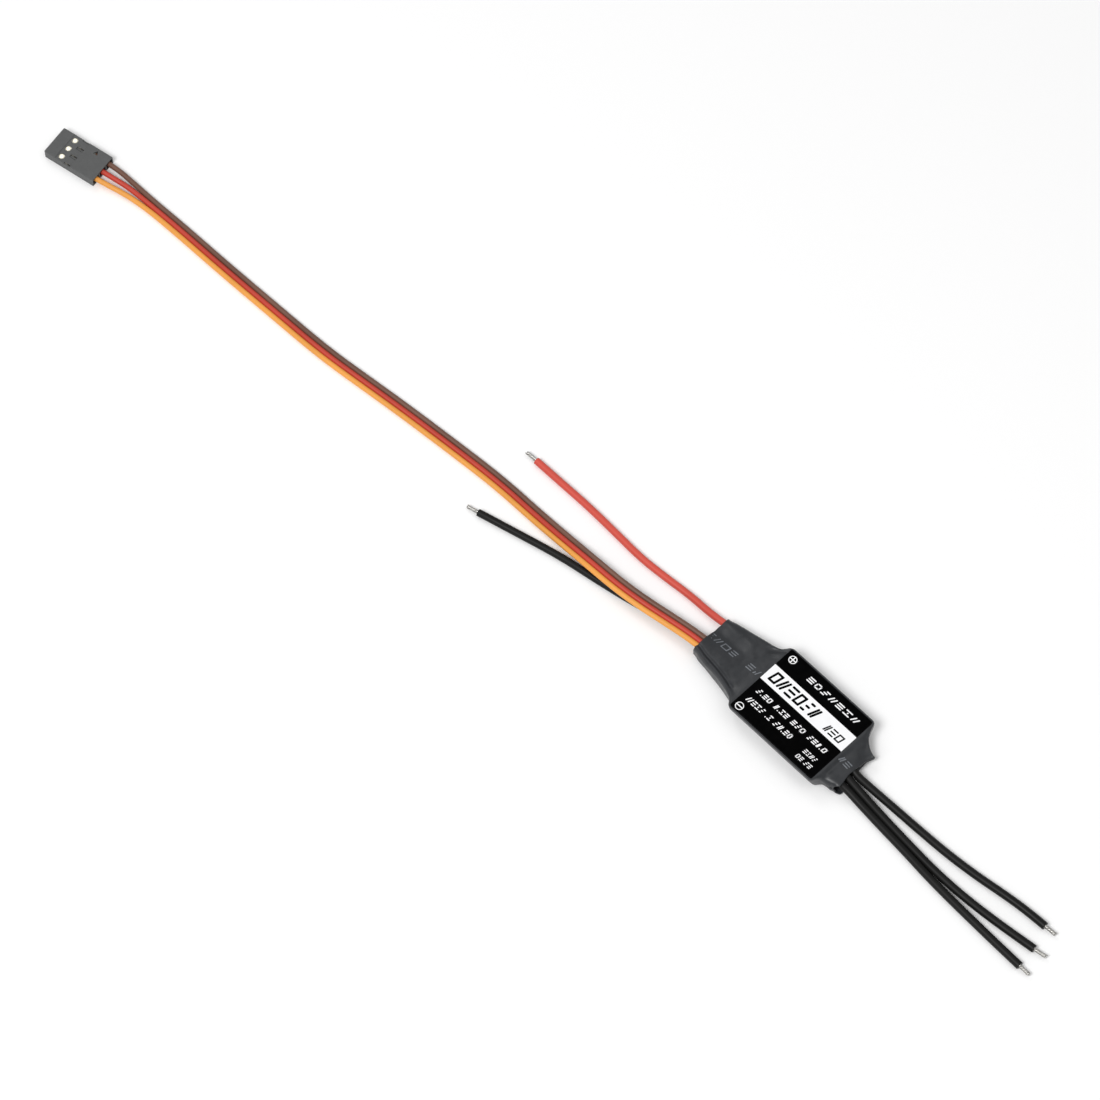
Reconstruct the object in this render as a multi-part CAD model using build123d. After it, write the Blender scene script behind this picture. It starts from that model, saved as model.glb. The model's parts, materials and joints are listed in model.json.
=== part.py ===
"""Small brushless motor speed controller: a sleeved circuit board with its leads.

Millimetres. +X runs from the power end to the motor end, +Y is the positive side,
+Z is up, and the sleeve's underside stands on z = 0.
"""
from build123d import *
import math
import os

os.makedirs("parts", exist_ok=True)

# ---------------------------------------------------------------- driving sizes
sleeve_wall = 0.4           # shrunk tubing
sleeve_half_length = 22.9   # the sleeve's mouths lie this far from the origin
body_low_side = -10.65      # over the board, to the section's sharp corners
body_high_side = 9.95
body_height = 5.2
body_tuck = 0.9             # the body's underside is narrower than its top by this on each side
tuck_fade = 0.2             # and loses this for each millimetre that the sleeve narrows
body_start = -6.4           # where the sleeve reaches its full section
body_end = 17.2

label_length = 24.8
label_width = 19.3
label_thickness = 0.1
label_centre = (5.4, -0.55)
label_corner = 0.5

board_start = -6.8
board_end = 16.8
board_half_width = 8.7
board_bottom = 1.8
board_thickness = 0.8
board_top = board_bottom + board_thickness
board_corner = 0.8

motor_lead_diameter = 1.85
power_lead_diameter = 1.7
signal_wire_diameter = 1.2
signal_pitch = 1.25         # between the three wires of the ribbon
lead_core_diameter = 1.0    # tinned strands
power_core_diameter = 0.85  # as soldered to the board
signal_core_diameter = 0.5
bare_core_diameter = 0.66   # untinned strands, packed tighter than the tinned ones
bare_length = 0.5           # of them, beside the jacket
tinned_length = 2.8

plug_length = 14.0
plug_width = 7.7
plug_height = 2.5
plug_pitch = 2.54
plug_centre = (-211.26, -17.43)
plug_angle = 11.0           # degrees, how the plug lies on the floor
cavity_width = 2.1
cavity_height = 1.96
contact_width = 1.7
contact_height = 1.7
window_centre = -2.8        # along the plug from its middle
window_size = 1.5
finger_end = 0.5            # where the latch fingers join the housing

# ---------------------------------------------------------------- lead routes
# Each route starts at its jacket's end inside the sleeve. A point is (x, y, z).
motor_routes = [
    [(13.0, 1.0, 3.58), (17.7, 0.6, 3.66), (22.2, -1.1, 2.25), (27.5, -1.55, 1.4),
     (34.0, -0.85, 0.96), (41.5, -0.5, 0.94), (49.5, -0.2, 0.94), (57.5, 0.6, 0.94),
     (64.5, 1.7, 0.94), (70.8, 2.45, 0.94), (75.8, 2.65, 0.94)],
    [(13.0, -2.8, 3.58), (17.8, -2.95, 3.66), (22.5, -3.3, 2.15), (28.0, -3.45, 1.2),
     (34.5, -3.9, 0.95), (42.0, -4.4, 0.94), (50.0, -4.8, 0.94), (57.5, -4.7, 0.94),
     (64.5, -4.15, 0.94), (71.6, -3.4, 0.94), (77.8, -2.85, 0.94)],
    [(13.0, -6.6, 3.58), (17.9, -6.2, 3.62), (22.8, -5.45, 1.95), (28.5, -5.5, 1.05),
     (35.0, -5.9, 0.94), (42.5, -6.5, 0.94), (50.0, -7.0, 0.94), (56.5, -7.35, 0.94),
     (64.0, -7.6, 0.94), (71.5, -7.8, 0.94), (78.3, -7.9, 0.94)],
]
power_routes = {
    "positive": [(-7.4, 5.4, 3.46), (-13.5, 5.2, 3.0), (-20.0, 4.55, 1.95), (-26.5, 4.0, 1.2),
                 (-33.5, 4.0, 0.88), (-40.5, 3.25, 0.86), (-47.5, 2.75, 0.86), (-55.5, 3.1, 0.86),
                 (-64.5, 3.4, 0.86), (-73.0, 3.25, 0.86), (-81.1, 3.15, 0.86)],
    "negative": [(-7.4, -6.3, 1.36), (-13.0, -5.6, 1.42), (-18.5, -4.2, 1.44), (-24.0, -3.1, 1.42),
                 (-30.0, -3.7, 1.1), (-36.5, -5.05, 0.87), (-43.0, -6.6, 0.86),
                 (-51.0, -8.15, 0.86), (-60.0, -9.7, 0.86), (-70.5, -12.45, 0.86),
                 (-80.8, -15.2, 0.86)],
}
# The middle wire of the ribbon, which crosses over the negative lead, and the last points
# of each wire, where the ribbon is split and its wires fan out into the plug.
ribbon_route = [
    (-7.4, -2.4, 3.22), (-13.0, -2.5, 3.2), (-19.0, -2.75, 3.02), (-25.5, -3.25, 2.94),
    (-32.0, -4.25, 2.75), (-38.5, -5.35, 2.64), (-45.5, -6.15, 2.6), (-54.0, -6.45, 2.45),
    (-62.5, -6.4, 1.2), (-71.0, -6.5, 0.62), (-83.3, -6.6, 0.61), (-98.0, -7.9, 0.61),
    (-113.0, -9.4, 0.61), (-124.0, -10.75, 0.61), (-135.0, -12.0, 0.61), (-150.0, -12.6, 0.61),
    (-166.0, -13.25, 0.61), (-181.0, -13.6, 0.61), (-190.0, -14.0, 0.61)]
plug_fans = {
    "brown": [(-197.5, -12.95, 0.8), (-202.9, -13.22, 1.2), (-208.8, -14.37, 1.25)],
    "red": [(-197.0, -14.45, 0.8), (-202.4, -15.71, 1.2), (-208.3, -16.86, 1.25)],
    "orange": [(-196.6, -16.3, 0.8), (-201.9, -17.95, 1.2), (-207.8, -19.35, 1.25)],
}
ribbon_side = {"brown": 1, "red": 0, "orange": -1}


def block(length, width, height, centre, bottom):
    """A plain block by its plan centre and its lowest level."""
    place = Pos(centre[0], centre[1], bottom)
    return place * Box(length, width, height, align=(Align.CENTER, Align.CENTER, Align.MIN))


# ---------------------------------------------------------------- cords
def tube(route, diameter, name):
    """A round cord on straight runs joined by tangent arcs as large as the runs allow."""
    points = [Vector(point) for point in route]
    radii = []
    for before, corner, after in zip(points, points[1:], points[2:]):
        shorter_run = min((corner - before).length, (after - corner).length)
        half_turn = math.radians((corner - before).get_angle(after - corner)) / 2
        radii.append(0.45 * shorter_run / math.tan(half_turn))
    path = FilletPolyline(*points, radius=radii)
    start_plane = Plane(origin=path @ 0, z_dir=path % 0)
    solid = sweep(start_plane * Circle(diameter / 2), path=path)
    expected = math.pi * diameter ** 2 / 4 * path.length
    print(f"{name}: length {path.length:.1f}, tightest radius {min(radii):.1f},",
          f"volume {solid.volume:.1f} of {expected:.1f}")
    return solid


def tinned_tip(route):
    """The bare strands past the end of a lead's jacket, tinned from a little way out."""
    end = Vector(route[-1])
    strands = extrude(Circle(bare_core_diameter / 2), bare_length)
    tinned = extrude(Circle(lead_core_diameter / 2), tinned_length)
    tinned = chamfer(tinned.edges().sort_by(Axis.Z)[-1], 0.15)
    return Plane(origin=end, z_dir=end - Vector(route[-2])) * (strands + Pos(0, 0, bare_length) * tinned)


def signal_route(colour):
    shift = ribbon_side[colour] * signal_pitch
    shared = [(x, y + shift, z) for x, y, z in ribbon_route]
    return shared + plug_fans[colour]


# ---------------------------------------------------------------- sleeve and label
# (x, low y, high y, then bottom and top on the low-y side and on the high-y side, corner)
sleeve_sections = [
    (-22.9, -5.8, 5.6, 0.10, 4.20, 0.15, 3.60, 1.20),
    (-19.5, -6.2, 6.3, 0.10, 4.28, 0.15, 3.75, 1.30),
    (-16.0, -6.6, 6.8, 0.05, 4.38, 0.10, 4.00, 1.40),
    (-12.5, -7.3, 7.3, 0.00, 4.60, 0.05, 4.45, 1.40),
    (-10.0, -7.9, 7.9, 0.00, 4.80, 0.00, 4.75, 1.40),
    (-8.6, -8.8, 8.5, 0.00, 5.05, 0.00, 5.00, 1.30),
    (-7.5, -10.0, 9.4, 0.00, 5.17, 0.00, 5.15, 1.20),
    (body_start, body_low_side, body_high_side, 0.0, body_height, 0.0, body_height, 1.1),
    (body_end, body_low_side, body_high_side, 0.0, body_height, 0.0, body_height, 1.1),
    (18.2, -10.0, 9.3, 0.00, 5.10, 0.00, 5.05, 1.10),
    (18.9, -8.6, 7.8, 0.05, 4.95, 0.20, 4.80, 1.10),
    (19.7, -7.9, 6.9, 0.10, 4.60, 0.50, 4.35, 1.00),
    (21.0, -7.7, 6.0, 0.15, 4.20, 0.90, 3.85, 0.90),
    (22.9, -7.5, 5.2, 0.20, 3.90, 1.30, 3.30, 0.70),
]


def sleeve_section(section, inset, shift=0.0):
    """One four-sided section with round corners, drawn inwards by inset."""
    x, low, high, low_bottom, low_top, high_bottom, high_top, corner = section
    tuck = max(0.0, body_tuck - tuck_fade * (body_high_side - body_low_side - (high - low)))
    outline = Polyline(
        (low + inset + tuck, low_bottom + inset), (high - inset - tuck, high_bottom + inset),
        (high - inset, high_top - inset), (low + inset, low_top - inset), close=True)
    face = make_face(outline)
    face = fillet(face.vertices(), max(corner - inset, 0.2))
    plane = Plane(origin=(x + shift, 0, 0), x_dir=(0, 1, 0), z_dir=(1, 0, 0))
    return plane * face


def heat_shrink_sleeve():
    """Shrunk tubing, open at both ends, with a long neck and a short scooped mouth."""
    outside = loft([sleeve_section(section, 0.0) for section in sleeve_sections], ruled=True)
    middle = [sleeve_section(section, sleeve_wall) for section in sleeve_sections[1:-1]]
    first = sleeve_section(sleeve_sections[0], sleeve_wall, -0.1)
    last = sleeve_section(sleeve_sections[-1], sleeve_wall, 0.1)
    shell = outside - loft([first] + middle + [last], ruled=True)
    scoop_radius = 34.4
    scoop_depth = 0.6
    scoop_x = sleeve_half_length - scoop_depth + scoop_radius
    return shell - Pos(scoop_x, -1.2, 0) * Cylinder(scoop_radius, 20.0)


def label():
    sheet = RectangleRounded(label_length, label_width, label_corner)
    return Pos(label_centre[0], label_centre[1], body_height) * extrude(sheet, label_thickness)


# ---------------------------------------------------------------- circuit board
def circuit_board():
    length = board_end - board_start
    outline = RectangleRounded(length, 2 * board_half_width, board_corner)
    centre_x = (board_start + board_end) / 2
    return Pos(centre_x, 0, board_bottom) * extrude(outline, board_thickness)


def on_board(part, centre, underside=False):
    """Stands a part that was drawn on z = 0 on the board's top, or hangs it below."""
    if underside:
        return Pos(centre[0], centre[1], board_bottom) * (Rot(180, 0, 0) * part)
    return Pos(centre[0], centre[1], board_top) * part


def chip_package(length, width, height, pins, pitch, all_round=False):
    """A moulded chip with a chamfered top edge and flat pins along its sides."""
    body = block(length, width, height - 0.1, (0, 0), 0.1)
    body = chamfer(body.faces().sort_by(Axis.Z)[-1].edges(), 0.12)
    foot = 0.55
    pieces = [body]
    for pin in range(pins):
        along = (pin - (pins - 1) / 2) * pitch
        for side in (-1, 1):
            pieces.append(block(pitch * 0.5, foot, 0.25, (along, side * (width / 2 + 0.15)), 0.0))
            if all_round:
                pieces.append(block(foot, pitch * 0.5, 0.25, (side * (length / 2 + 0.15), along), 0.0))
    return Part() + pieces


def power_transistor():
    return chip_package(3.2, 2.9, 0.95, 4, 0.65)


def microcontroller():
    return chip_package(6.6, 6.6, 1.0, 8, 0.75, all_round=True)


def gate_driver():
    return chip_package(3.0, 2.8, 0.9, 4, 0.65)


def voltage_regulator(length, width, height):
    """A regulator with a wide cooling tab on one side and three pins on the other."""
    body = block(length, width, height - 0.1, (0, 0), 0.1)
    body = chamfer(body.faces().sort_by(Axis.Z)[-1].edges(), 0.15)
    tab = block(length * 0.5, 0.9, 0.3, (0, width / 2 + 0.3), 0.0)
    pins = [block(0.5, 0.9, 0.3, (step * length * 0.33, -width / 2 - 0.3), 0.0)
            for step in (-1, 0, 1)]
    return Part() + ([body, tab] + pins)


def chip_part(length, width, height):
    """A ceramic chip resistor or capacitor with thicker end caps."""
    cap = length * 0.2
    core = block(length - 2 * cap, width - 0.06, height - 0.06, (0, 0), 0.03)
    caps = [block(cap, width, height, (side * (length - cap) / 2, 0), 0.0) for side in (-1, 1)]
    return Part() + ([core] + caps)


def solder_joint(route, core_diameter, surface):
    """Solder over the stripped end of a wire, from the jacket's end face to its pad."""
    jacket_end = Vector(route[0])
    inward = jacket_end - Vector(route[1])
    reach = 3.0
    bare = 0.8              # strands between the jacket and the solder
    core = extrude(Plane(origin=jacket_end, z_dir=inward) * Circle(core_diameter / 2), reach)
    mound_length = reach - bare
    mound_centre = jacket_end.X + math.copysign(bare + mound_length / 2, inward.X)
    mound_width = core_diameter + 0.5
    mound_height = abs(jacket_end.Z - surface)
    bottom = min(jacket_end.Z, surface)
    mound = block(mound_length, mound_width, mound_height, (mound_centre, jacket_end.Y), bottom)
    mound = fillet(mound.edges().filter_by(Axis.Z), mound_width * 0.35)
    return core + mound


# ---------------------------------------------------------------- servo plug
def in_plug(part):
    """Places a part drawn about the plug's own centre, its front towards -X."""
    return Pos(plug_centre[0], plug_centre[1], 0) * (Rot(0, 0, plug_angle) * part)


plug_rows = {"brown": plug_pitch, "red": 0.0, "orange": -plug_pitch}


def plug_housing():
    """A moulded three-way housing with through cavities, round windows and latch fingers."""
    housing = block(plug_length, plug_width, plug_height, (0, 0), 0.0)
    housing = chamfer(housing.faces().sort_by(Axis.X)[0].edges(), 0.25)
    housing = fillet(housing.edges().filter_by(Axis.X), 0.15)
    first_pin_mark = extrude(Triangle(a=1.2, b=1.2, c=1.2), plug_height)
    housing -= Pos(3.3, 2.5, plug_height / 2) * first_pin_mark

    band_depth = 0.12       # the fingers lie a little below the rest of the top
    band_start = window_centre - window_size / 2 - 0.3
    band_length = finger_end - band_start
    band_centre = (band_start + finger_end) / 2
    housing -= block(band_length, plug_width + 1, 1.0, (band_centre, 0), plug_height - band_depth)

    gap_start = window_centre + window_size
    gap_centre = (gap_start + finger_end) / 2
    gap_width = 0.8         # between one finger and the next
    gap_depth = 0.36
    for y in (-1.5 * plug_pitch, -0.5 * plug_pitch, 0.5 * plug_pitch, 1.5 * plug_pitch):
        housing -= block(finger_end - gap_start, gap_width, 1.0, (gap_centre, y), plug_height - gap_depth)

    cavity_bottom = (plug_height - cavity_height) / 2
    window = extrude(Circle(window_size / 2), plug_height)
    for y in plug_rows.values():
        housing -= block(plug_length + 1, cavity_width, cavity_height, (0, y), cavity_bottom)
        housing -= Pos(window_centre, y, plug_height / 2) * window
    return in_plug(housing)


def plug_contact(y):
    """A folded box contact with its locking boss, narrow neck and the crimp that holds the wire."""
    middle = plug_height / 2
    box_start, box_end, crimp_start, crimp_end = -6.4, -0.6, 0.4, 2.95
    box_length = box_end - box_start
    box_centre = (box_start + box_end) / 2
    box = block(box_length, contact_width, contact_height, (box_centre, y), middle - contact_height / 2)
    socket = 0.9
    box -= block(box_length - 0.8, socket, socket, (box_centre - 0.5, y), middle - socket / 2)
    boss = extrude(Circle(window_size / 2 - 0.14), 0.42)
    boss = chamfer(boss.edges().sort_by(Axis.Z)[-1], 0.1)
    box += Pos(window_centre, y, middle + contact_height / 2 - 0.2) * boss
    neck = block(1.4, 0.8, 0.6, (0.0, y), middle - 0.3)
    crimp_centre = (crimp_start + crimp_end) / 2
    crimp = block(crimp_end - crimp_start, 1.3, 1.2, (crimp_centre, y), middle - 0.6)
    return in_plug(box + neck + crimp)


# ---------------------------------------------------------------- the assembly
def assembly():
    nodes = {}
    nodes["heat_shrink_sleeve"] = heat_shrink_sleeve()
    nodes["label"] = label()
    nodes["circuit_board"] = circuit_board()

    for number, route in enumerate(motor_routes, 1):
        y = route[0][1]
        high, low = 2 * number - 1, 2 * number
        nodes[f"motor_lead_{number}"] = tube(route, motor_lead_diameter, f"motor lead {number}")
        nodes[f"motor_lead_tip_{number}"] = tinned_tip(route)
        nodes[f"motor_solder_{number}"] = solder_joint(route, lead_core_diameter, board_top)
        nodes[f"power_transistor_{high}"] = on_board(power_transistor(), (8.0, y))
        nodes[f"power_transistor_{low}"] = on_board(power_transistor(), (4.2, y))
        nodes[f"gate_driver_{number}"] = on_board(gate_driver(), (9.5, 5.4 * (number - 2)), True)

    for sign, route in power_routes.items():
        surface = board_bottom if sign == "negative" else board_top
        nodes[f"power_lead_{sign}"] = tube(route, power_lead_diameter, f"{sign} lead")
        nodes[f"power_lead_tip_{sign}"] = tinned_tip(route)
        nodes[f"power_solder_{sign}"] = solder_joint(route, power_core_diameter, surface)

    for colour in plug_rows:
        route = signal_route(colour)
        nodes[f"signal_wire_{colour}"] = tube(route, signal_wire_diameter, f"{colour} wire")
        nodes[f"signal_solder_{colour}"] = solder_joint(route, signal_core_diameter, board_top)
        nodes[f"plug_contact_{colour}"] = plug_contact(plug_rows[colour])
    nodes["plug_housing"] = plug_housing()

    nodes["microcontroller"] = on_board(microcontroller(), (1.2, 0.0), True)
    nodes["voltage_regulator_1"] = on_board(Rot(0, 0, 90) * voltage_regulator(5.6, 2.6, 1.5), (-0.6, -5.2))
    nodes["voltage_regulator_2"] = on_board(Rot(0, 0, 90) * voltage_regulator(3.0, 1.6, 1.1), (0.0, 1.4))
    nodes["input_capacitor_1"] = on_board(chip_part(3.2, 2.5, 1.9), (8.4, 6.6))
    nodes["input_capacitor_2"] = on_board(chip_part(3.2, 2.5, 1.9), (4.4, 6.6))
    nodes["ceramic_resonator"] = on_board(chip_part(3.2, 1.3, 1.0), (1.2, 6.2), True)
    resistors = [on_board(chip_part(1.6, 0.8, 0.45), (-4.6 + 0.1 * step, -7.4 + 2.4 * step), True)
                 for step in range(7)]
    nodes["chip_resistors"] = Compound(children=resistors)
    capacitors = [on_board(chip_part(1.6, 0.8, 0.8), (13.6, -6.9 + 2.3 * step), True)
                  for step in range(7)]
    nodes["chip_capacitors"] = Compound(children=capacitors)
    return nodes


for name, shape in assembly().items():
    export_step(shape, f"parts/{name}.step")
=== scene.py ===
"""A small brushless motor speed controller on a pale floor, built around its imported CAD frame."""
import json
import math
import random

import bmesh
import bpy
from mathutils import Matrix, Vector, noise


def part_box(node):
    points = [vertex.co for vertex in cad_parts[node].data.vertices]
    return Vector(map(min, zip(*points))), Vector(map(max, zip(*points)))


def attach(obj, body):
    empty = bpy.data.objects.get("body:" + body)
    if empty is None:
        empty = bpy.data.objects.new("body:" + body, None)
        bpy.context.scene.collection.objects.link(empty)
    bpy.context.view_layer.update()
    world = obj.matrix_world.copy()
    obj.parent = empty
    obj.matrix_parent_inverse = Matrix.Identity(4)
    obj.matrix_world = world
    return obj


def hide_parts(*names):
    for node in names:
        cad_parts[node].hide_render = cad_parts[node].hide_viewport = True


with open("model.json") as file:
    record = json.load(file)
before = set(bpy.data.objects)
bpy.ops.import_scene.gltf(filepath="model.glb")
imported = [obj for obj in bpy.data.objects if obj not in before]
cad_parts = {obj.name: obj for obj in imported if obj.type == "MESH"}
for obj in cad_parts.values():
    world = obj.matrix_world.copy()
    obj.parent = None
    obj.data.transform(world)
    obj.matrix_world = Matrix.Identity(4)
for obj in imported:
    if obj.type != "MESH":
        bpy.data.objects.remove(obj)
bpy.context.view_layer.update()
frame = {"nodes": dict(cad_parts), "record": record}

MM = 0.001
BODY = "root"

# ------------------------------------------------------------------ the cords' facts and routes
# The routes are in millimetres, from the jacket's end inside the sleeve. They are the CAD model's,
# but the motor leads leave the mouth jacket against jacket, and the second stays beside the third.
MOTOR_DIAMETER = 1.85
POWER_DIAMETER = 1.7
SIGNAL_DIAMETER = 1.25
SIGNAL_PITCH = 1.25
MOTOR_ROUTES = {
    "motor_lead_1": [
        (13.0, 1.0, 3.58), (17.7, 0.6, 3.66), (22.2, -1.4, 2.25), (27.2, -1.05, 1.45),
        (34.0, -0.68, 0.96), (41.5, -0.5, 0.94), (49.5, -0.2, 0.94), (57.5, 0.6, 0.94),
        (64.5, 1.7, 0.94), (70.8, 2.45, 0.94), (75.8, 2.65, 0.94)],
    "motor_lead_2": [
        (13.0, -2.8, 3.58), (17.8, -2.95, 3.66), (22.5, -3.2, 2.15), (28.0, -3.5, 1.2),
        (34.5, -4.02, 0.95), (42.0, -4.56, 0.94), (50.0, -5.05, 0.94), (57.5, -5.0, 0.94),
        (64.5, -4.5, 0.94), (71.6, -3.7, 0.94), (77.8, -2.85, 0.94)],
    "motor_lead_3": [
        (13.0, -6.6, 3.58), (17.9, -6.2, 3.62), (22.8, -5.05, 1.95), (28.5, -5.3, 1.05),
        (35.0, -5.8, 0.94), (42.5, -6.3, 0.94), (50.0, -7.0, 0.94), (56.5, -7.35, 0.94),
        (64.0, -7.6, 0.94), (71.5, -7.8, 0.94), (78.3, -7.9, 0.94)],
}
POWER_ROUTES = {
    "power_lead_positive": [
        (-7.4, 5.4, 3.46), (-13.5, 5.2, 3.0), (-20.0, 4.55, 1.95), (-26.5, 4.0, 1.2),
        (-33.5, 4.0, 0.88), (-40.5, 3.25, 0.86), (-47.5, 2.75, 0.86), (-55.5, 3.1, 0.86),
        (-64.5, 3.4, 0.86), (-73.0, 3.25, 0.86), (-81.1, 3.15, 0.86)],
    "power_lead_negative": [
        (-7.4, -6.3, 1.36), (-13.0, -5.6, 1.42), (-18.5, -4.2, 1.44), (-24.0, -3.1, 1.42),
        (-30.0, -3.7, 1.1), (-36.5, -5.05, 0.87), (-43.0, -6.6, 0.86), (-51.0, -8.15, 0.86),
        (-60.0, -9.7, 0.86), (-70.5, -12.45, 0.86), (-80.8, -15.2, 0.86)],
}
RIBBON_ROUTE = [
    (-7.4, -2.4, 3.22), (-13.0, -2.5, 3.2), (-19.0, -2.75, 3.02), (-25.5, -3.25, 2.94),
    (-32.0, -4.25, 2.75), (-38.5, -5.35, 2.64), (-45.5, -6.15, 2.6), (-54.0, -6.45, 2.45),
    (-62.5, -6.4, 1.2), (-71.0, -6.5, 0.62), (-83.3, -6.6, 0.61), (-98.0, -7.9, 0.61),
    (-113.0, -9.4, 0.61), (-124.0, -10.75, 0.61), (-135.0, -12.0, 0.61), (-150.0, -12.6, 0.61),
    (-166.0, -13.25, 0.61), (-181.0, -13.6, 0.61), (-190.0, -14.0, 0.61)]
PLUG_FANS = {
    "brown": [(-197.5, -12.95, 0.8), (-202.9, -13.22, 1.2), (-208.8, -14.37, 1.25)],
    "red": [(-197.0, -14.45, 0.8), (-202.4, -15.71, 1.2), (-208.3, -16.86, 1.25)],
    "orange": [(-196.6, -16.3, 0.8), (-201.9, -17.95, 1.2), (-207.8, -19.35, 1.25)],
}
RIBBON_SIDE = {"brown": 1, "red": 0, "orange": -1}

# ------------------------------------------------------------------ camera, floor and light
CAMERA_AZIMUTH = 45.8
CAMERA_ELEVATION = 63.0
CAMERA_DISTANCE = 1.2
CAMERA_LENS = 177.0
CAMERA_TARGET = (-0.06326, -0.01, 0.0)
WORLD_STRENGTH = 0.45
LIGHT_DISTANCE = 1.3
LIGHTS = [  # name, azimuth, elevation, diameter in metres and power in watts
    ("key_light", 5, 58, 0.55, 10.0),
    ("fill_light", 120, 64, 1.0, 1.8),
    ("far_light", 255, 48, 0.5, 1.6),
]
FLOOR_SIZE = 6.0
FLOOR_DROP = 0.04           # millimetres below the underside, so that the two never share a plane


def direction(azimuth, elevation):
    """A unit vector: azimuth 0 is towards -Y and 90 towards +X, in degrees."""
    a, e = math.radians(azimuth), math.radians(elevation)
    return Vector((math.sin(a) * math.cos(e), -math.cos(a) * math.cos(e), math.sin(e)))


def make_camera():
    data = bpy.data.cameras.new("camera")
    data.lens = CAMERA_LENS
    data.sensor_width = 36.0
    data.clip_start = 0.01
    data.clip_end = 20.0
    camera = bpy.data.objects.new("camera", data)
    bpy.context.scene.collection.objects.link(camera)
    back = direction(CAMERA_AZIMUTH, CAMERA_ELEVATION)
    camera.location = Vector(CAMERA_TARGET) + back * CAMERA_DISTANCE
    camera.rotation_mode = "QUATERNION"
    camera.rotation_quaternion = (-back).to_track_quat("-Z", "Y")
    bpy.context.scene.camera = camera


def area_light(name, azimuth, elevation, size, power):
    data = bpy.data.lights.new(name, "AREA")
    data.shape = "DISK"
    data.size = size
    data.energy = power
    lamp = bpy.data.objects.new(name, data)
    bpy.context.scene.collection.objects.link(lamp)
    toward = direction(azimuth, elevation)
    lamp.location = Vector(CAMERA_TARGET) + toward * LIGHT_DISTANCE
    lamp.rotation_mode = "QUATERNION"
    lamp.rotation_quaternion = (-toward).to_track_quat("-Z", "Y")


def make_stage():
    """A white surround, three soft lights and a plain pale floor."""
    world = bpy.data.worlds.new("studio")
    world.use_nodes = True
    background = world.node_tree.nodes["Background"]
    background.inputs["Color"].default_value = (1.0, 1.0, 1.0, 1.0)
    background.inputs["Strength"].default_value = WORLD_STRENGTH
    bpy.context.scene.world = world
    bpy.context.scene.view_settings.view_transform = "Standard"
    for light in LIGHTS:
        area_light(*light)

    bpy.ops.mesh.primitive_plane_add(size=FLOOR_SIZE, location=(0, 0, -FLOOR_DROP * MM))
    floor = bpy.context.object
    floor.name = "floor"
    floor.data.materials.append(material("floor_paper", (0.96, 0.96, 0.96), 0.8)[0])


# ------------------------------------------------------------------ materials
def material(name, colour, roughness, metallic=0.0):
    """A new node material and the parts of it that the other functions work on."""
    made = bpy.data.materials.new(name)
    made.use_nodes = True
    made.diffuse_color = (*colour, 1.0)
    nodes, links = made.node_tree.nodes, made.node_tree.links
    shader = nodes["Principled BSDF"]
    shader.inputs["Base Color"].default_value = (*colour, 1.0)
    shader.inputs["Roughness"].default_value = roughness
    shader.inputs["Metallic"].default_value = metallic
    return made, nodes, links, shader


def coordinates(nodes, links, stretch=(1.0, 1.0, 1.0)):
    """Object coordinates in millimetres, stretched along the axes if asked."""
    place = nodes.new("ShaderNodeTexCoord")
    mapping = nodes.new("ShaderNodeMapping")
    mapping.inputs["Scale"].default_value = [1000.0 * factor for factor in stretch]
    links.new(place.outputs["Object"], mapping.inputs["Vector"])
    return mapping.outputs["Vector"]


def noise_texture(nodes, links, vector, per_mm, detail, distortion=0.0):
    made = nodes.new("ShaderNodeTexNoise")
    made.inputs["Scale"].default_value = per_mm
    made.inputs["Detail"].default_value = detail
    made.inputs["Distortion"].default_value = distortion
    links.new(vector, made.inputs["Vector"])
    return made.outputs["Fac"]


def ramp(nodes, links, source, stops):
    """stops are (position, colour or grey) pairs."""
    made = nodes.new("ShaderNodeValToRGB")
    elements = made.color_ramp.elements
    while len(elements) < len(stops):
        elements.new(0.5)
    for element, (position, value) in zip(elements, stops):
        element.position = position
        colour = value if isinstance(value, tuple) else (value, value, value)
        element.color = (*colour, 1.0)
    links.new(source, made.inputs["Fac"])
    return made.outputs["Color"]


def bump(nodes, links, shader, height, strength, distance):
    made = nodes.new("ShaderNodeBump")
    made.inputs["Strength"].default_value = strength
    made.inputs["Distance"].default_value = distance
    links.new(height, made.inputs["Height"])
    links.new(made.outputs["Normal"], shader.inputs["Normal"])


COARSE_SHARE = 0.15         # of the fine grain's frequency
GLOSS_SPREAD = 0.1          # how far the roughness wanders either way
LEAST_LIGHT = 0.0004        # keeps the darkest finishes from going flat
GRAIN_STRENGTH = 0.35


def surface_material(name, colour, roughness, spread, grain_per_mm, bump_mm,
                     metallic=0.0, specular=0.5, stretch=(1.0, 1.0, 1.0)):
    """A moulded or drawn surface: mottled colour, uneven gloss and a fine grain."""
    made, nodes, links, shader = material(name, colour, roughness, metallic)
    vector = coordinates(nodes, links, stretch)
    coarse = noise_texture(nodes, links, vector, grain_per_mm * COARSE_SHARE, 4.0, 0.4)
    fine = noise_texture(nodes, links, vector, grain_per_mm, 5.0)
    dark = tuple(channel * (1 - spread) for channel in colour)
    light = tuple(min(1.0, channel * (1 + spread) + LEAST_LIGHT) for channel in colour)
    links.new(ramp(nodes, links, coarse, [(0.3, dark), (0.7, light)]), shader.inputs["Base Color"])
    glossy, matte = roughness - GLOSS_SPREAD, roughness + GLOSS_SPREAD
    links.new(ramp(nodes, links, coarse, [(0.25, glossy), (0.75, matte)]), shader.inputs["Roughness"])
    bump(nodes, links, shader, fine, GRAIN_STRENGTH, bump_mm * MM)
    shader.inputs["Specular IOR Level"].default_value = specular
    return made


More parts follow.
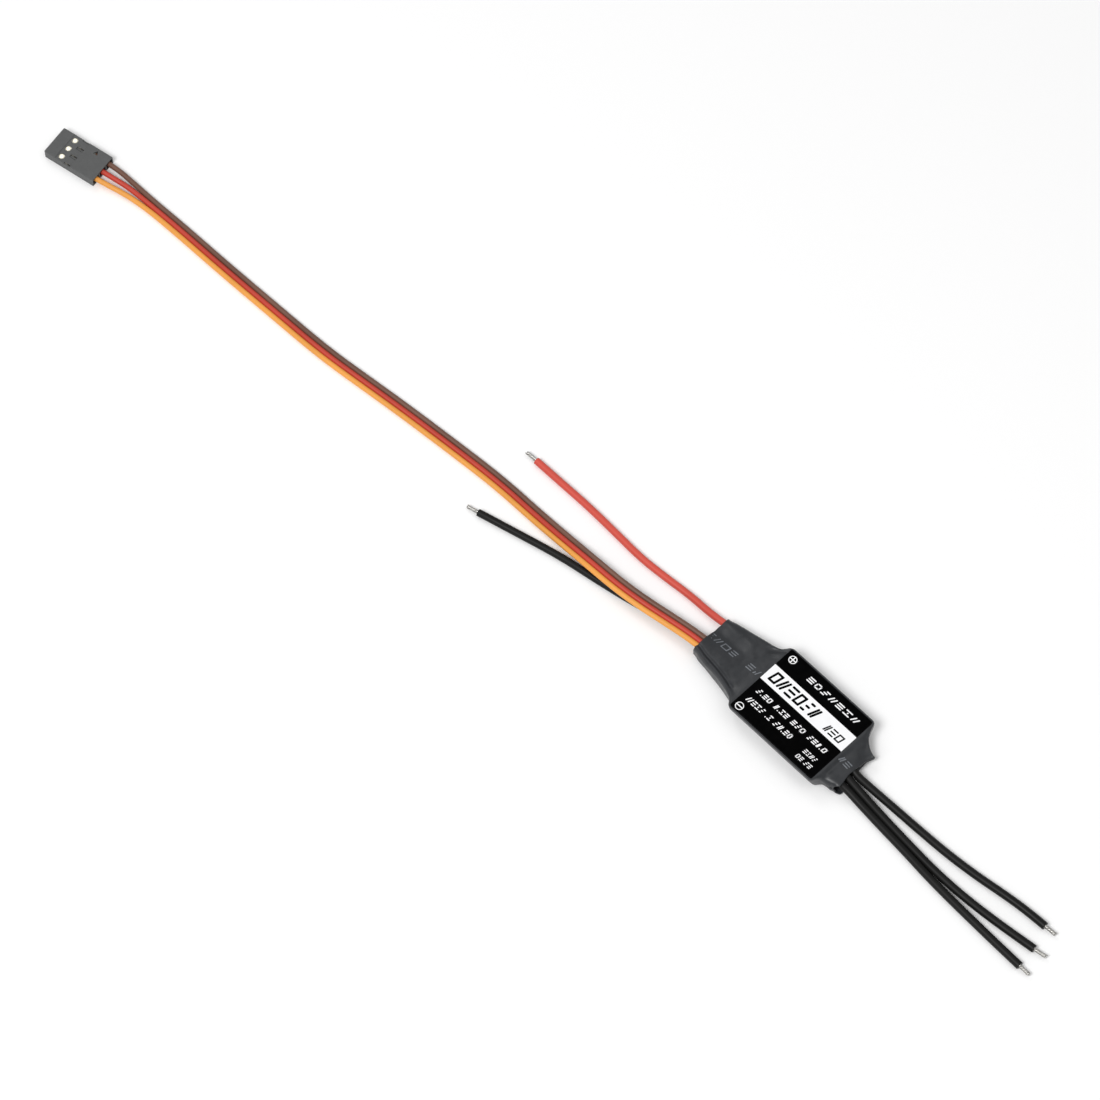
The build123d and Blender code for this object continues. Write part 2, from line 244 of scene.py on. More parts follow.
MATT = {"specular": 0.4}
DRAWN = {"stretch": (0.15, 1.0, 1.0)}  # along the wire, which runs near the X axis
FINISHES = {  # colour, roughness, spread of the colour, grains to a millimetre, bump in millimetres
    "sleeve_plastic": ((0.0185, 0.0203, 0.0235), 0.38, 0.12, 4.0, 0.008, {}),
    "label_film": ((0.0008, 0.0008, 0.0009), 0.4, 0.2, 6.0, 0.001, {"specular": 0.02}),
    "label_white": ((0.9, 0.9, 0.91), 0.4, 0.015, 6.0, 0.002, {"specular": 0.2}),
    "sleeve_print": ((0.13, 0.14, 0.155), 0.5, 0.3, 5.0, 0.01, {}),
    "black_silicone": ((0.006, 0.006, 0.0057), 0.48, 0.2, 3.0, 0.012, {**DRAWN, "specular": 0.2}),
    "red_silicone": ((0.6, 0.075, 0.05), 0.42, 0.08, 3.0, 0.012, {**DRAWN, **MATT}),
    "brown_insulation": ((0.155, 0.075, 0.05), 0.4, 0.15, 3.0, 0.01, {**DRAWN, **MATT}),
    "red_insulation": ((0.5, 0.05, 0.03), 0.4, 0.08, 3.0, 0.01, {**DRAWN, **MATT}),
    "orange_insulation": ((0.78, 0.33, 0.06), 0.4, 0.06, 3.0, 0.01, {**DRAWN, **MATT}),
    "tinned_copper": ((0.46, 0.45, 0.43), 0.3, 0.12, 3.0, 0.004, {"metallic": 1.0}),
    "plug_plastic": ((0.085, 0.087, 0.087), 0.5, 0.1, 5.0, 0.012, MATT),
    "contact_metal": ((1.0, 0.95, 0.8), 0.35, 0.02, 4.0, 0.002, {"metallic": 0.55}),
    "board_laminate": ((0.015, 0.1, 0.045), 0.35, 0.2, 2.0, 0.01, {}),
    "chip_body": ((0.025, 0.025, 0.027), 0.55, 0.2, 6.0, 0.01, {}),
    "ceramic_chip": ((0.45, 0.33, 0.22), 0.5, 0.15, 4.0, 0.01, {}),
    "solder": ((0.75, 0.75, 0.77), 0.25, 0.1, 2.0, 0.02, {"metallic": 1.0}),
}


def make_materials():
    return {name: surface_material(name, *values, **extras)
            for name, (*values, extras) in FINISHES.items()}


# ------------------------------------------------------------------ meshes
def mesh_object(name, mesh, finish, smooth=True):
    """Turns a bmesh into a piece that rides on the body and takes its finish from that slot."""
    bmesh.ops.recalc_face_normals(mesh, faces=mesh.faces)
    data = bpy.data.meshes.new(name)
    mesh.to_mesh(data)
    mesh.free()
    if smooth:
        for polygon in data.polygons:
            polygon.use_smooth = True
    piece = bpy.data.objects.new(name, data)
    bpy.context.scene.collection.objects.link(piece)
    data.materials.append(materials[finish])
    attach(piece, BODY)
    return piece


def join_loops(mesh, loops):
    """Faces between each closed loop of vertices and the next one."""
    for one, two in zip(loops, loops[1:]):
        for step in range(len(one)):
            following = (step + 1) % len(one)
            mesh.faces.new((one[step], one[following], two[following], two[step]))


def join_grid(mesh, grid):
    """Faces between neighbouring columns and rows of vertices."""
    for one, two in zip(grid, grid[1:]):
        for row in range(len(one) - 1):
            mesh.faces.new((one[row], two[row], two[row + 1], one[row + 1]))


# ------------------------------------------------------------------ cords
def nurbs_curve(name, route, diameter):
    """An open, smooth NURBS cord with a round section and closed ends. The route is in millimetres."""
    data = bpy.data.curves.new(name, "CURVE")
    data.dimensions = "3D"
    data.resolution_u = 12
    data.bevel_depth = diameter * MM / 2
    data.bevel_resolution = 6
    data.use_fill_caps = True
    spline = data.splines.new("NURBS")
    spline.points.add(len(route) - 1)
    for point, (x, y, z) in zip(spline.points, route):
        point.co = (x * MM, y * MM, z * MM, 1.0)
    spline.order_u = 3
    spline.use_endpoint_u = True
    curve = bpy.data.objects.new(name, data)
    bpy.context.scene.collection.objects.link(curve)
    return curve


def make_cord(name, route, diameter, finish):
    """A cord in place of its CAD tube, which it hides. It leaves the sleeve at the mouth."""
    curve = nurbs_curve(name + "_jacket", route, diameter)
    curve.data.materials.append(materials[finish])
    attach(curve, BODY)
    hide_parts(name)


TIP_LENGTH = 3.2
TIP_INSET = 0.1             # the strands start this far inside the jacket
TIP_STRANDS = 6             # round one in the middle
TIP_STRAND_RADIUS = 0.17
TIP_LAY = 0.31              # from the tip's middle to the middle of each outer strand
TIP_TURNS = 0.8
TIP_RINGS = 22
SOLDER_REACH = 0.82         # of the tip's length
SOLDER_PLACES = (0, 0.25, 0.5, 0.75, 0.95, 1)
SOLDER_RADII = (0.33, 0.34, 0.34, 0.33, 0.3, 0.2)


def tube_along(mesh, centres, radii, around=10):
    """A closed round tube through a list of nearby points, with a radius at each."""
    loops = []
    for index, (centre, radius) in enumerate(zip(centres, radii)):
        before, after = centres[max(index - 1, 0)], centres[min(index + 1, len(centres) - 1)]
        along = (after - before).normalized()
        side = along.cross(Vector((0, 0, 1))).normalized()
        up = side.cross(along)
        loops.append([mesh.verts.new(centre + (side * math.cos(angle) + up * math.sin(angle)) * radius)
                      for angle in (2 * math.pi * step / around for step in range(around))])
    join_loops(mesh, loops)
    mesh.faces.new(reversed(loops[0]))
    mesh.faces.new(loops[-1])


def make_tip(name, route, seed):
    """Twisted bare strands over a core of solder, a little frayed and uneven at the end."""
    draw = random.Random(seed)
    end = Vector(route[-1]) * MM
    along = (end - Vector(route[-2]) * MM).normalized()
    side = along.cross(Vector((0, 0, 1))).normalized()
    up = side.cross(along)
    mesh = bmesh.new()
    lean = Vector((draw.uniform(-0.1, 0.1), draw.uniform(-0.1, 0.1), 0.0)) * MM
    for strand in range(TIP_STRANDS + 1):
        start_angle = 2 * math.pi * strand / TIP_STRANDS + draw.uniform(-0.12, 0.12)
        reach = TIP_LENGTH * draw.uniform(0.86, 1.0)
        splay = draw.uniform(-0.05, 0.06)
        centres, radii = [], []
        for ring in range(TIP_RINGS + 1):
            t = ring / TIP_RINGS
            away = TIP_LAY + splay * t ** 3 - 0.04 * math.sin(math.pi * t)
            if strand == TIP_STRANDS:
                away = 0.0
            angle = start_angle + 2 * math.pi * TIP_TURNS * t
            offset = (side * math.cos(angle) + up * math.sin(angle)) * away * MM
            centres.append(end + along * (reach * t - TIP_INSET) * MM + offset + lean * t * t)
            radii.append(TIP_STRAND_RADIUS * MM * (1.0 - 0.35 * max(0.0, (t - 0.9) / 0.1) ** 2))
        tube_along(mesh, centres, radii)
    solder = [end + along * (SOLDER_REACH * TIP_LENGTH * t - TIP_INSET) * MM + lean * t * t
              for t in SOLDER_PLACES]
    tube_along(mesh, solder, [radius * MM for radius in SOLDER_RADII], 16)
    piece = mesh_object(name + "_strands", mesh, "tinned_copper")
    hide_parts(name)
    return piece


def make_cords():
    """Three motor leads, two power leads and the ribbon's three wires, which end in the plug."""
    for number, (name, route) in enumerate(MOTOR_ROUTES.items(), 1):
        tip = make_tip(name.replace("lead_", "lead_tip_"), route, number)
        make_cord(name, route, MOTOR_DIAMETER, "black_silicone")
    finishes = {"power_lead_positive": "red_silicone", "power_lead_negative": "black_silicone"}
    for number, (name, route) in enumerate(POWER_ROUTES.items(), 4):
        tip = make_tip(name.replace("lead_", "lead_tip_"), route, number)
        make_cord(name, route, POWER_DIAMETER, finishes[name])
    for colour, side in RIBBON_SIDE.items():
        shared = [(x, y + side * SIGNAL_PITCH, z) for x, y, z in RIBBON_ROUTE]
        name = "signal_wire_" + colour
        make_cord(name, shared + PLUG_FANS[colour], SIGNAL_DIAMETER, colour + "_insulation")


# ------------------------------------------------------------------ sleeve
# Sections along the sleeve in millimetres: x, then the low-y and high-y edges, then the bottom and
# the top on the low side and on the high side, the corner radii on the low and the high side, and
# how much narrower the underside is on each side.
SLEEVE_SECTIONS = [
    (-22.7, -5.75, 5.45, 0.10, 4.25, 0.35, 3.20, 1.30, 1.10, 0.0),
    (-19.7, -6.28, 6.00, 0.10, 4.30, 0.25, 3.60, 1.30, 1.05, 0.0),
    (-16.4, -6.68, 6.45, 0.05, 4.42, 0.15, 3.95, 1.25, 1.00, 0.0),
    (-13.5, -7.18, 6.95, 0.00, 4.56, 0.05, 4.35, 1.15, 0.95, 0.1),
    (-10.6, -7.95, 7.40, 0.00, 4.78, 0.00, 4.70, 1.0, 0.90, 0.3),
    (-9.0, -8.6, 7.82, 0.00, 4.93, 0.00, 4.86, 0.85, 0.85, 0.6),
    (-8.1, -9.3, 8.60, 0.00, 5.04, 0.00, 5.02, 0.75, 0.80, 0.9),
    (-7.4, -10.12, 9.42, 0.00, 5.14, 0.00, 5.13, 0.75, 0.75, 1.2),
    (-6.6, -10.42, 9.72, 0.00, 5.19, 0.00, 5.19, 0.60, 0.70, 1.35),
    (0.0, -10.43, 9.73, 0.00, 5.20, 0.00, 5.20, 0.50, 0.65, 1.35),
    (12.0, -10.43, 9.73, 0.00, 5.20, 0.00, 5.20, 0.50, 0.65, 1.35),
    (17.3, -10.42, 9.72, 0.00, 5.19, 0.00, 5.19, 0.55, 0.70, 1.35),
    (18.0, -10.05, 9.40, 0.00, 5.12, 0.00, 5.08, 0.65, 0.75, 1.2),
    (18.5, -8.95, 8.00, 0.00, 4.88, 0.10, 4.80, 0.90, 0.75, 0.7),
    (19.2, -8.10, 6.55, 0.05, 4.48, 0.30, 4.35, 1.30, 0.75, 0.3),
    (20.4, -7.80, 5.45, 0.10, 4.22, 0.75, 3.70, 1.50, 0.65, 0.1),
    (21.7, -7.65, 4.80, 0.15, 4.08, 1.10, 3.15, 1.45, 0.50, 0.0),
    (23.2, -7.35, 4.55, 0.20, 3.95, 1.45, 2.70, 1.30, 0.40, 0.0),
]
SLEEVE_WALL = 0.36


def smooth_step(low, high, value):
    """0 at low and 1 at high, which may lie either way round, with an easy start and end."""
    t = min(1.0, max(0.0, (value - low) / (high - low)))
    return t * t * (3 - 2 * t)


def blended_section(x):
    """The section's values at x, joined smoothly from one listed section to the next."""
    stations = [section[0] for section in SLEEVE_SECTIONS]
    if x <= stations[0]:
        return SLEEVE_SECTIONS[0][1:]
    if x >= stations[-1]:
        return SLEEVE_SECTIONS[-1][1:]
    index = max(i for i, station in enumerate(stations) if station <= x)
    index = min(index, len(stations) - 2)
    span = stations[index + 1] - stations[index]
    t = (x - stations[index]) / span
    values = []
    for column in range(1, len(SLEEVE_SECTIONS[0])):
        here, there = SLEEVE_SECTIONS[index][column], SLEEVE_SECTIONS[index + 1][column]
        slopes = []
        for knot in (index, index + 1):
            before, after = max(knot - 1, 0), min(knot + 1, len(stations) - 1)
            left = SLEEVE_SECTIONS[knot][column] - SLEEVE_SECTIONS[before][column]
            right = SLEEVE_SECTIONS[after][column] - SLEEVE_SECTIONS[knot][column]
            if left * right <= 0:
                slopes.append(0.0)
                continue
            left /= stations[knot] - stations[before]
            right /= stations[after] - stations[knot]
            slopes.append(2 * left * right / (left + right))
        h00 = (1 + 2 * t) * (1 - t) ** 2
        h10 = t * (1 - t) ** 2
        h01 = t * t * (3 - 2 * t)
        h11 = t * t * (t - 1)
        values.append(h00 * here + h10 * span * slopes[0] + h01 * there + h11 * span * slopes[1])
    return values


def top_height(x, y):
    """The sleeve's upper surface at a point on its plan, in millimetres."""
    low, high, _, low_top, _, high_top, low_corner, high_corner, _ = blended_section(x)
    flat = low_top + (high_top - low_top) * (y - low) / (high - low)
    drop = 0.0
    for edge, inward, corner in ((low, 1, low_corner), (high, -1, high_corner)):
        inset = (y - edge) * inward
        if inset < corner:
            reach = corner - max(inset, 0.0)
            drop = max(drop, corner - math.sqrt(max(corner ** 2 - reach ** 2, 0.0)))
    return flat - drop + relief(x, y, True)


FOLDS = [  # on the top: from, to, height (a hollow is negative) and width in millimetres
    ((-7.3, 9.2), (-11.4, 6.1), 0.34, 0.42),
    ((-7.6, 7.9), (-11.0, 4.9), -0.26, 0.55),
    ((-8.0, 5.4), (-11.0, 2.0), -0.10, 0.6),
    ((-8.3, -7.4), (-13.5, -4.2), -0.14, 0.6),
    ((18.2, 8.2), (20.8, 3.4), -0.24, 0.5),
    ((18.4, 8.6), (21.9, 4.4), 0.16, 0.35),
    ((18.2, -8.4), (20.6, -6.2), -0.22, 0.4),
    ((19.0, -6.5), (18.9, 0.5), -0.16, 0.5),
]
# Ridges over the wires and hollows beside them, along the sleeve: height, middle in y and width.
MOTOR_TOP = [(0.26, -2.0, 2.3), (-0.30, 3.0, 1.6)]
MOTOR_UNDERSIDE = [(0.35, 3.0, 1.8)]
POWER_TOP = [(0.16, -2.4, 1.7), (-0.38, 1.4, 1.5), (0.16, 4.1, 1.0)]
POWER_UNDERSIDE = [(0.25, 1.2, 1.8)]
NECK_EDGE = [(0.20, 0.6, 0.34), (-0.50, 1.42, 0.42)]  # inwards from the neck's low-y edge


def distance_to_segment(x, y, start, end):
    """The distance, and how far along the segment its nearest point lies, from 0 to 1."""
    along_x, along_y = end[0] - start[0], end[1] - start[1]
    t = ((x - start[0]) * along_x + (y - start[1]) * along_y) / (along_x ** 2 + along_y ** 2)
    t = min(1.0, max(0.0, t))
    return math.hypot(x - start[0] - t * along_x, y - start[1] - t * along_y), t


def bulge(distance, width):
    return math.exp(-(distance / width) ** 2)


def bulges(table, place):
    return sum(height * bulge(place - middle, width) for height, middle, width in table)


def relief(x, y, upper):
    """How far tension, the wires and folds lift or lower the sleeve at a point on its plan."""
    motor_side = smooth_step(18.6, 22.0, x)
    power_side = smooth_step(-11.0, -18.0, x)
    if not upper:
        return motor_side * bulges(MOTOR_UNDERSIDE, y) + power_side * bulges(POWER_UNDERSIDE, y)
    lift = motor_side * bulges(MOTOR_TOP, y) + power_side * bulges(POWER_TOP, y)
    in_neck = smooth_step(-8.8, -11.0, x)
    lift += in_neck * bulges(NECK_EDGE, y - blended_section(x)[0])
    for start, end, height, width in FOLDS:
        distance, t = distance_to_segment(x, y, start, end)
        lift += height * math.sin(math.pi * (0.25 + 0.75 * t)) * bulge(distance, width)
    return lift


MOTOR_CUT_START = 20.5
MOTOR_CUT_END = 23.2
POWER_CUT_START = -20.5
POWER_CUT_RUN = 2.2
TUCK_TOP = 4.6              # the height at which the walls stop leaning inwards


def mouth_recess(x, y, upper):
    """How far the sleeve's cut edge lies behind the sections' end, at the two mouths."""
    if x > MOTOR_CUT_START:
        cut_line = 0.75 - 0.6 * smooth_step(2.6, 4.4, y) - 0.5 * smooth_step(-3.0, -6.4, y)
        cut_line += 1.25 * smooth_step(-6.3, -7.7, y)
        if upper:
            cut_line += 0.12 * bulge(y + 2.2, 1.2)
        else:
            cut_line -= 0.5 * smooth_step(-3.0, -6.0, y)
        ragged = 0.07 * noise.noise(Vector((y * 0.8, 4.0, 1.0 if upper else 7.0)))
        return smooth_step(MOTOR_CUT_START, MOTOR_CUT_END, x) * (cut_line + ragged)
    if x < POWER_CUT_START:
        share = min(1.0, (POWER_CUT_START - x) / POWER_CUT_RUN)
        return -share * 0.12 * (1 + noise.noise(Vector((y * 0.8, 2.0, 3.0 if upper else 9.0))))
    return 0.0


def tucked(y, z, low, high, tuck):
    """Draws a section's lower half in towards its middle, most at the bottom."""
    share = 1.0 - smooth_step(0.0, TUCK_TOP, z) ** 0.8
    middle, half = (low + high) / 2, (high - low) / 2
    return middle + (y - middle) * (1.0 - tuck * share / half)


def ring_points(x, flat_steps, side_steps, arc_steps):
    """Points round one section as (y, z, whether it is on the upper half)."""
    (low, high, low_bottom, low_top, high_bottom, high_top,
     low_corner, high_corner, tuck) = blended_section(x)
    low_corner = min(low_corner, 0.48 * (low_top - low_bottom))
    high_corner = min(high_corner, 0.48 * (high_top - high_bottom))
    corners = [(low + low_corner, low_top - low_corner, 180, 90, low_corner),
               (high - high_corner, high_top - high_corner, 90, 0, high_corner),
               (high - high_corner, high_bottom + high_corner, 0, -90, high_corner),
               (low + low_corner, low_bottom + low_corner, 270, 180, low_corner)]
    points = []
    for index, (cy, cz, start, end, radius) in enumerate(corners):
        upper = index < 2
        for step in range(arc_steps + 1):
            angle = math.radians(start + (end - start) * step / arc_steps)
            y, z = cy + radius * math.cos(angle), cz + radius * math.sin(angle)
            points.append((tucked(y, z, low, high, tuck), z, upper))
        next_y, next_z, next_start, _, next_radius = corners[(index + 1) % 4]
        angle = math.radians(end)
        from_y, from_z = cy + radius * math.cos(angle), cz + radius * math.sin(angle)
        angle = math.radians(next_start)
        to_y, to_z = next_y + next_radius * math.cos(angle), next_z + next_radius * math.sin(angle)
        steps = flat_steps if index % 2 == 0 else side_steps
        for step in range(1, steps):
            t = step / steps
            side_upper = upper if index % 2 == 0 else (t < 0.5) == (index == 1)
            y, z = from_y + (to_y - from_y) * t, from_z + (to_z - from_z) * t
            points.append((tucked(y, z, low, high, tuck), z, side_upper))
    return points


def settled_point(x, y, z, low, high, upper):
    """A section's point moved by the relief, by a slight unevenness and by the cut at the mouths."""
    in_body = smooth_step(-9.5, -6.0, x) * (1 - smooth_step(17.0, 19.0, x))
    flatness = smooth_step(0.0, 0.7, min(y - low, high - y))
    coarse = noise.noise(Vector((x * 0.33, y * 0.33, z * 0.5)))
    fine = noise.noise(Vector((x * 0.9 + 5, y * 0.9, z)))
    swell = (0.09 * coarse + 0.03 * fine) * (1 - 0.9 * in_body)
    if upper and in_body > 0.5:
        swell = 0.0  # the board and the label keep the body's top flat
    outward = 1 if y > (low + high) / 2 else -1
    moved_y = y + swell * outward * (1 - flatness)
    moved_z = z + relief(x, y, upper) * flatness + swell * flatness * (1 if upper else 0.4)
    return Vector((x - mouth_recess(x, y, upper), moved_y, max(moved_z, 0.0))) * MM


SLEEVE_RINGS = 190


def make_sleeve():
    """The shrunk tube: one wall with thickness, drawn in over the wires, cut at both ends."""
    mesh = bmesh.new()
    first, last = SLEEVE_SECTIONS[0][0], SLEEVE_SECTIONS[-1][0]
    loops = []
    for ring in range(SLEEVE_RINGS + 1):
        x = first + (last - first) * ring / SLEEVE_RINGS
        low, high = blended_section(x)[:2]
        loops.append([mesh.verts.new(settled_point(x, y, z, low, high, upper))
                      for y, z, upper in ring_points(x, flat_steps=52, side_steps=10, arc_steps=7)])
    join_loops(mesh, loops)
    sleeve = mesh_object("shrink_sleeve", mesh, "sleeve_plastic")
    wall = sleeve.modifiers.new("wall", "SOLIDIFY")
    wall.thickness = SLEEVE_WALL * MM
    wall.offset = -1.0
    wall.use_rim = True
    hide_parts("heat_shrink_sleeve")


# ------------------------------------------------------------------ label
LABEL_THICKNESS = 0.1
LABEL_CORNER = 0.5
LABEL_SINK = 0.02           # how far the film reaches into the sleeve, so that no gap shows
PRINT_LIFT = 0.012
SLEEVE_PRINT_LIFT = 0.035


def label_plan():
    """The label's centre and its length and width, in millimetres, from the CAD label."""
    low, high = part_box("label")
    centre = ((low[0] + high[0]) / 2 / MM, (low[1] + high[1]) / 2 / MM)
    size = ((high[0] - low[0]) / MM, (high[1] - low[1]) / MM)
    return centre, size


def on_label(along, across, lift=0.0):
    """A point on the label's face from its centre's coordinates, following the sleeve under it."""
    (centre_x, centre_y), _ = label_plan()
    x, y = centre_x + along, centre_y + across
    return Vector((x * MM, y * MM, (top_height(x, y) + LABEL_THICKNESS + lift) * MM))


def rounded_outline(length, width, radius, steps=6):
    """A rectangle with round corners, about the origin."""
    points = []
    for sign_x, sign_y, start in ((1, 1, 0), (-1, 1, 90), (-1, -1, 180), (1, -1, 270)):
        cx, cy = sign_x * (length / 2 - radius), sign_y * (width / 2 - radius)
        for step in range(steps + 1):
            angle = math.radians(start + 90 * step / steps)
            points.append((cx + radius * math.cos(angle), cy + radius * math.sin(angle)))
    return points


def make_label():
    """A film with round corners that follows the sleeve and bends over its long edges."""
    _, (length, width) = label_plan()
    columns, rows = 80, 60
    mesh = bmesh.new()
    grid = []
    for column in range(columns + 1):
        along = length * (column / columns - 0.5)
        across_all = [width * (row / rows - 0.5) for row in range(rows + 1)]
        grid.append([mesh.verts.new(on_label(*squeeze_corner(along, across, length, width)))
                     for across in across_all])
    join_grid(mesh, grid)
    label = mesh_object("label_film", mesh, "label_film")
    film = label.modifiers.new("film", "SOLIDIFY")
    film.thickness = (LABEL_THICKNESS + LABEL_SINK) * MM
    film.offset = -1.0
    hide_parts("label")


def squeeze_corner(along, across, length, width):
    """Pulls a point of a rectangular grid inside the rectangle's round corners."""
    cx, cy = length / 2 - LABEL_CORNER, width / 2 - LABEL_CORNER
    dx, dy = abs(along) - cx, abs(across) - cy
    if dx <= 0 or dy <= 0:
        return along, across
    share = max(dx, dy) / math.hypot(dx, dy)
    return math.copysign(cx + dx * share, along), math.copysign(cy + dy * share, across)


def print_patch(mesh, along, across, length, width, radius):
    """One flat printed shape on the label: a round-cornered bar."""
    points = rounded_outline(length, width, min(radius, length / 2.01, width / 2.01))
    verts = [mesh.verts.new(on_label(along + a, across + b, PRINT_LIFT)) for a, b in points]
    mesh.faces.new(verts)


def print_ring(mesh, along, across, outer, inner):
    steps = 40
    rims = []
    for radius in (outer, inner):
        rims.append([mesh.verts.new(on_label(along + radius * math.cos(2 * math.pi * step / steps),
                                             across + radius * math.sin(2 * math.pi * step / steps),
                                             PRINT_LIFT)) for step in range(steps)])
    join_loops(mesh, rims)


# Plain marks that are not letters, each a list of strokes in a cell from (0, 0) to (1, 1).
BARS = [((0, 0), (1, 0)), ((0, 0.5), (1, 0.5)), ((0, 1), (1, 1))]
SLASHES = [((0, 0), (0.35, 1)), ((0.65, 0), (1, 1))]
STEPS = [((0, 0), (0.5, 0)), ((0.25, 0.5), (0.75, 0.5)), ((0.5, 1), (1, 1))]
FRAME = [((0, 0), (1, 0)), ((1, 0), (1, 1)), ((1, 1), (0, 1)), ((0, 1), (0, 0))]
PAIR = [((0, 0), (1, 0)), ((0, 1), (1, 1)), ((0.5, 0.45), (0.5, 0.55))]
DOT = [((0.5, 0), (0.5, 0.02))]
MARK_SLANT = 0.22


def print_stroke(mesh, place, start, end, width):
    """One round-ended straight stroke between two points of a surface's own plan."""
    ax, ay = start
    along_x, along_y = end[0] - ax, end[1] - ay
    length = max(math.hypot(along_x, along_y), 1e-6)
    turn = math.atan2(along_y, along_x)
    verts = []
    for px, py in rounded_outline(length + width, width, width * 0.4, 3):
        px += length / 2
        verts.append(mesh.verts.new(place(ax + px * math.cos(turn) - py * math.sin(turn),
                                          ay + px * math.sin(turn) + py * math.cos(turn))))
    mesh.faces.new(verts)


def print_word(mesh, place, start, middle, height, stroke, gap, marks, widths):
    """A run of plain marks in place of a word. Returns where one more mark would start."""
    along = start
    inner = height - stroke
    for width, mark in zip(widths, marks):
        reach = max(width - stroke, 0.01)
        for ends in mark:
            one, two = [(along + stroke / 2 + reach * x + MARK_SLANT * inner * (y - 0.5),
                         middle + inner * (y - 0.5)) for x, y in ends]
            print_stroke(mesh, place, one, two, stroke)
        along += width + gap
    return along


def print_line(mesh, place, start, middle, height, stroke, words):
    """Words in a line, each with the space before it, the gap in it, its marks and their widths."""
    cursor = start
    for space, gap, marks, widths in words:
        cursor = print_word(mesh, place, cursor + space, middle, height, stroke, gap, marks, widths)


def print_strip(mesh, start, end, low, high):
    """A printed band along the label, cut fine enough to bend with it."""
    columns, rows = 90, 12
    grid = []
    for column in range(columns + 1):
        along = start + (end - start) * column / columns
        grid.append([mesh.verts.new(on_label(along, low + (high - low) * row / rows, PRINT_LIFT / 2))
                     for row in range(rows + 1)])
    join_grid(mesh, grid)


def on_white_print(along, across):
    return on_label(along, across, PRINT_LIFT)


def on_black_print(along, across):
    return on_label(along, across, 1.5 * PRINT_LIFT)


BAND_TOP = 0.267            # of the label's width, from its upper edge
BAND_BOTTOM = 0.512
BAND_MARGIN = 0.02
POLARITY_MARKS = [  # along, across and whether the mark is a plus
    (-10.4, 7.93, True),
    (-10.7, -8.3, False),
]
RING_OUTER = 1.0
RING_INNER = 0.8
SIGN_LENGTH = 1.65
SIGN_STROKE = 0.26


def print_polarity_marks(mesh):
    for along, across, is_plus in POLARITY_MARKS:
        print_ring(mesh, along, across, RING_OUTER, RING_INNER)
        print_patch(mesh, along, across, SIGN_LENGTH, SIGN_STROKE, 0.05)
        if is_plus:
            print_patch(mesh, along, across, SIGN_STROKE, SIGN_LENGTH, 0.05)


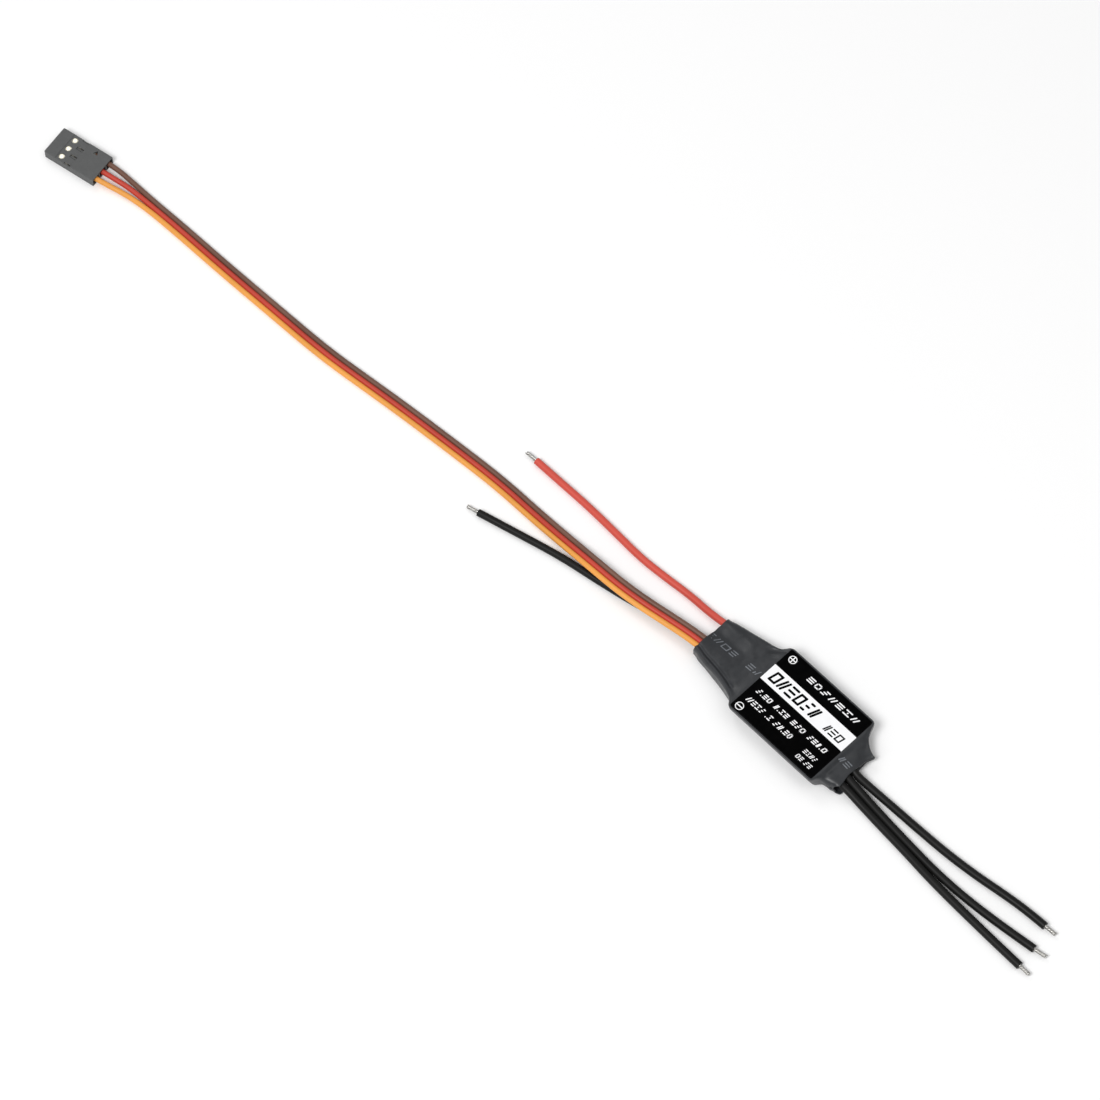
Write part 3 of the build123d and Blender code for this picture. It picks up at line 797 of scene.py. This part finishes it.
def make_print():
    """The label's white band, its plain marks in place of text, and the two polarity marks."""
    _, (length, width) = label_plan()
    white = bmesh.new()
    print_strip(white, -length / 2 + BAND_MARGIN, length / 2 - BAND_MARGIN,
                width / 2 - BAND_BOTTOM * width, width / 2 - BAND_TOP * width)
    print_polarity_marks(white)
    print_word(white, on_white_print, -4.9, 7.25, 1.4, 0.3, 0.5,
               [BARS, FRAME, STEPS, SLASHES, BARS, PAIR, SLASHES], [1.7, 1.5, 1.9, 1.6, 1.75, 1.9, 1.6])
    print_line(white, on_white_print, -10.6, -2.75, 1.25, 0.27, [
        (0.0, 0.28, [STEPS, DOT, BARS, FRAME], [1.0, 0.3, 1.0, 1.0]),
        (0.9, 0.28, [SLASHES, DOT, PAIR, BARS], [0.8, 0.3, 1.0, 1.0]),
        (0.9, 0.30, [BARS, STEPS, FRAME], [1.1, 1.0, 1.1]),
        (1.0, 0.28, [STEPS, BARS, SLASHES, DOT, FRAME], [1.0, 1.1, 0.7, 0.3, 1.0])])
    print_line(white, on_white_print, -10.8, -5.65, 1.35, 0.27, [
        (0.0, 0.25, [SLASHES, BARS, PAIR, STEPS], [1.3, 0.9, 1.0, 0.9]),
        (0.7, 0.25, [DOT, PAIR], [0.3, 0.9]),
        (0.7, 0.25, [STEPS, SLASHES, DOT, BARS, FRAME], [1.1, 0.9, 0.3, 0.9, 0.9])])
    print_word(white, on_white_print, 6.6, -5.8, 1.1, 0.22, 0.2,
               [BARS, PAIR, SLASHES, STEPS], [0.8, 0.65, 0.8, 0.7])
    print_word(white, on_white_print, 6.2, -7.75, 1.1, 0.22, 0.22, [FRAME, BARS], [0.8, 0.8])
    print_word(white, on_white_print, 8.7, -7.75, 1.1, 0.22, 0.22, [STEPS, BARS], [0.9, 0.75])
    ink = mesh_object("label_white_print", white, "label_white", smooth=False)
    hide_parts("label")

    black = bmesh.new()
    print_word(black, on_black_print, -10.9, 2.15, 2.95, 0.55, 0.42,
               [FRAME, SLASHES, BARS, FRAME, STEPS, SLASHES], [2.1, 1.9, 2.1, 2.0, 1.9, 1.6])
    print_word(black, on_black_print, 5.9, 1.6, 1.95, 0.36, 0.35,
               [SLASHES, BARS, FRAME], [1.1, 1.5, 1.6])
    ink = mesh_object("label_black_print", black, "label_film", smooth=False)
    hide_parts("label")


def on_sleeve(x, y):
    return Vector((x * MM, y * MM, (top_height(x, y) + SLEEVE_PRINT_LIFT) * MM))


def make_sleeve_print():
    """Faint plain marks in place of the tubing's own print, along its middle."""
    mesh = bmesh.new()
    print_word(mesh, on_sleeve, -22.3, -0.5, 1.5, 0.26, 0.6,
               [PAIR, SLASHES, FRAME, BARS], [0.9, 1.5, 1.9, 1.8])
    print_word(mesh, on_sleeve, -11.2, -0.3, 1.5, 0.26, 0.5, [BARS, SLASHES], [1.7, 1.2])
    print_word(mesh, on_sleeve, 18.6, -1.7, 1.5, 0.26, 0.4, [SLASHES, BARS], [0.9, 1.5])
    ink = mesh_object("sleeve_print_marks", mesh, "sleeve_print", smooth=False)
    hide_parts("heat_shrink_sleeve")


# ------------------------------------------------------------------ carried-over CAD nodes
def finish_cad_nodes():
    """Every CAD piece that stays in view takes the finish of its record's slot."""
    slots = {row["node"]: row["material_slot"] for row in frame["record"]["subparts"]}
    for name, node in frame["nodes"].items():
        node.data.materials.clear()
        node.data.materials.append(materials[slots[name]])


# ------------------------------------------------------------------ the scene
make_camera()
materials = make_materials()
make_stage()
finish_cad_nodes()
make_cords()
make_sleeve()
make_label()
make_print()
make_sleeve_print()
